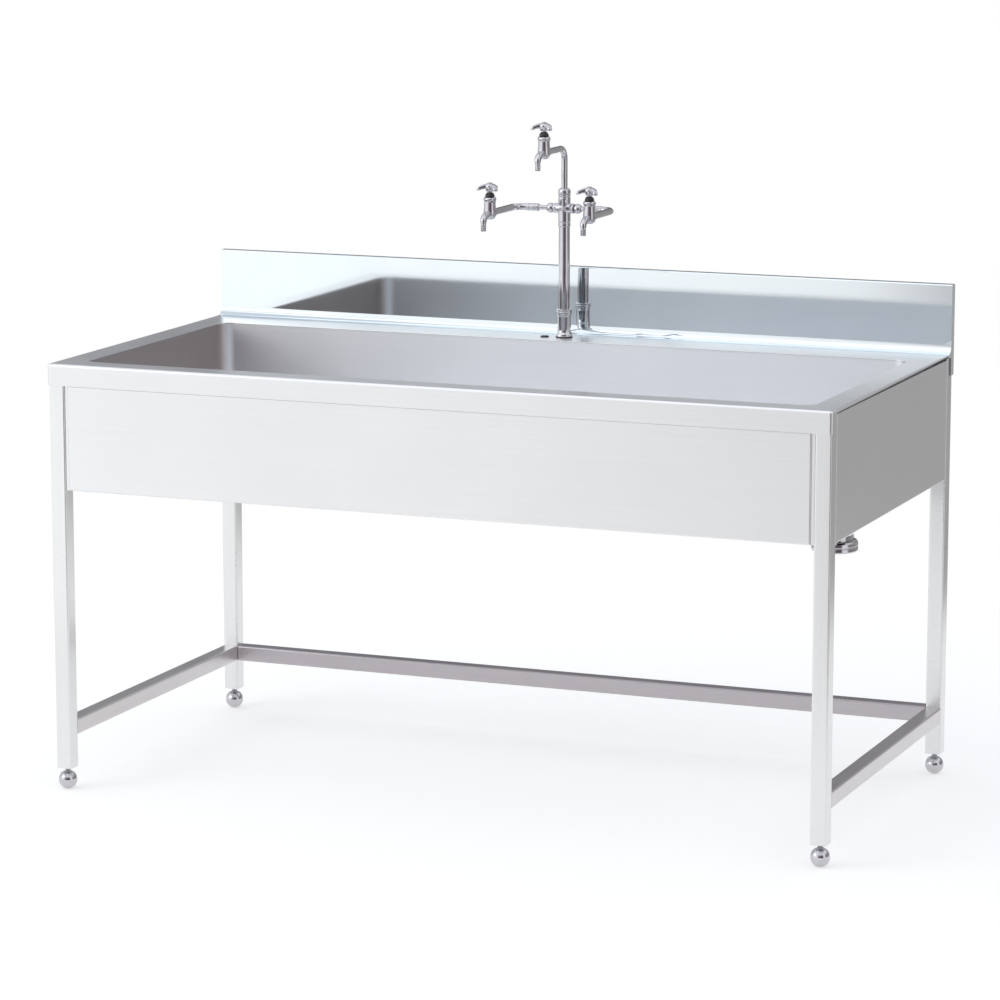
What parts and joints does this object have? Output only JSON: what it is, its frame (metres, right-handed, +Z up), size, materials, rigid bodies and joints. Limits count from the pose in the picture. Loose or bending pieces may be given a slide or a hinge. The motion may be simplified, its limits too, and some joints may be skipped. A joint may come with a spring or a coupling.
{
  "type": "laboratory sink unit",
  "caption": "Free-standing stainless laboratory sink with one long basin, raised back, open square-tube stand on levelling ball feet and a three-way laboratory tap.",
  "frame": {"origin": "on the floor, under the middle of the unit's width and depth", "axes": "+X to the right along the width as seen from the front, +Y to the back, +Z up"},
  "size_m": [1.5004, 0.7502, 1.2194],
  "materials": {
    "brushed_sheet": "fine brushed stainless sheet, satin",
    "brushed_tube": "brushed stainless square tube, brushed along its length",
    "polished_sheet": "bright polished stainless, nearly a mirror",
    "chrome": "bright chrome plate",
    "black_plastic": "black moulded plastic, semi-gloss",
    "rubber": "matt black rubber",
    "zinc_steel": "dull zinc-plated steel"
  },
  "bodies": {
    "unit": {"top_sheet": "brushed_sheet", "basin": "brushed_sheet", "front_apron": "brushed_sheet", "left_side_panel": "brushed_sheet", "right_side_panel": "brushed_sheet", "leg_front_left": "brushed_tube", "leg_front_right": "brushed_tube", "leg_rear_left": "brushed_tube", "leg_rear_right": "brushed_tube", "left_stretcher": "brushed_tube", "right_stretcher": "brushed_tube", "rear_stretcher": "brushed_tube", "left_top_rail": "brushed_tube", "right_top_rail": "brushed_tube", "front_top_rail": "brushed_tube", "rear_top_rail": "brushed_tube", "backsplash": "polished_sheet", "drain_flange": "polished_sheet", "drain_cup": "chrome", "drain_outlet_nut": "chrome", "tap_base": "chrome", "tap_column": "chrome", "tap_cross": "chrome", "riser_gland_nut": "chrome", "left_union_nut": "chrome", "right_union_nut": "chrome", "left_arm": "chrome", "right_arm": "chrome", "left_tap_body": "chrome", "left_nozzle": "chrome", "right_tap_body": "chrome", "right_nozzle": "chrome", "deck_hole_plug": "black_plastic", "left_packing_cap": "black_plastic", "right_packing_cap": "black_plastic", "drain_gasket": "rubber", "tap_washer": "rubber", "leg_plug_front_left": "zinc_steel", "leg_plug_front_right": "zinc_steel", "leg_plug_rear_left": "zinc_steel", "leg_plug_rear_right": "zinc_steel", "drain_lock_nut": "zinc_steel", "tap_lock_nut": "zinc_steel"},
    "foot_front_left": {"foot_front_left": "chrome"},
    "foot_front_right": {"foot_front_right": "chrome"},
    "foot_rear_left": {"foot_rear_left": "chrome"},
    "foot_rear_right": {"foot_rear_right": "chrome"},
    "strainer": {"drain_strainer": "polished_sheet"},
    "left_handle": {"left_handle": "chrome", "left_spindle": "chrome"},
    "right_handle": {"right_handle": "chrome", "right_spindle": "chrome"},
    "upper_swivel": {"riser": "chrome", "upper_tap_body": "chrome", "upper_nozzle": "chrome", "upper_packing_cap": "black_plastic"},
    "upper_handle": {"upper_handle": "chrome", "upper_spindle": "chrome"}
  },
  "joints": [
    {"name": "foot_front_left_level", "type": "slide", "parent": "unit", "child": "foot_front_left", "axis": [0, 0, 1], "range_m": [-0.015, 0.005]},
    {"name": "foot_front_right_level", "type": "slide", "parent": "unit", "child": "foot_front_right", "axis": [0, 0, 1], "range_m": [-0.015, 0.005]},
    {"name": "foot_rear_left_level", "type": "slide", "parent": "unit", "child": "foot_rear_left", "axis": [0, 0, 1], "range_m": [-0.015, 0.005]},
    {"name": "foot_rear_right_level", "type": "slide", "parent": "unit", "child": "foot_rear_right", "axis": [0, 0, 1], "range_m": [-0.015, 0.005]},
    {"name": "strainer_lift", "type": "slide", "parent": "unit", "child": "strainer", "axis": [0, 0, 1], "range_m": [0, 0.25]},
    {"name": "upper_swivel", "type": "hinge", "parent": "unit", "child": "upper_swivel", "pos_m": [0, 0.306, 1.1], "axis": [0, 0, 1], "continuous": true},
    {"name": "left_handle_turn", "type": "hinge", "parent": "unit", "child": "left_handle", "pos_m": [-0.1, 0.176, 1.1], "axis": [0, 0, 1], "range_deg": [0, 540]},
    {"name": "right_handle_turn", "type": "hinge", "parent": "unit", "child": "right_handle", "pos_m": [0.1, 0.176, 1.1], "axis": [0, 0, 1], "range_deg": [0, 540]},
    {"name": "upper_handle_turn", "type": "hinge", "parent": "upper_swivel", "child": "upper_handle", "pos_m": [0, 0.199, 1.1], "axis": [0, 0, 1], "range_deg": [0, 540]}
  ]
}
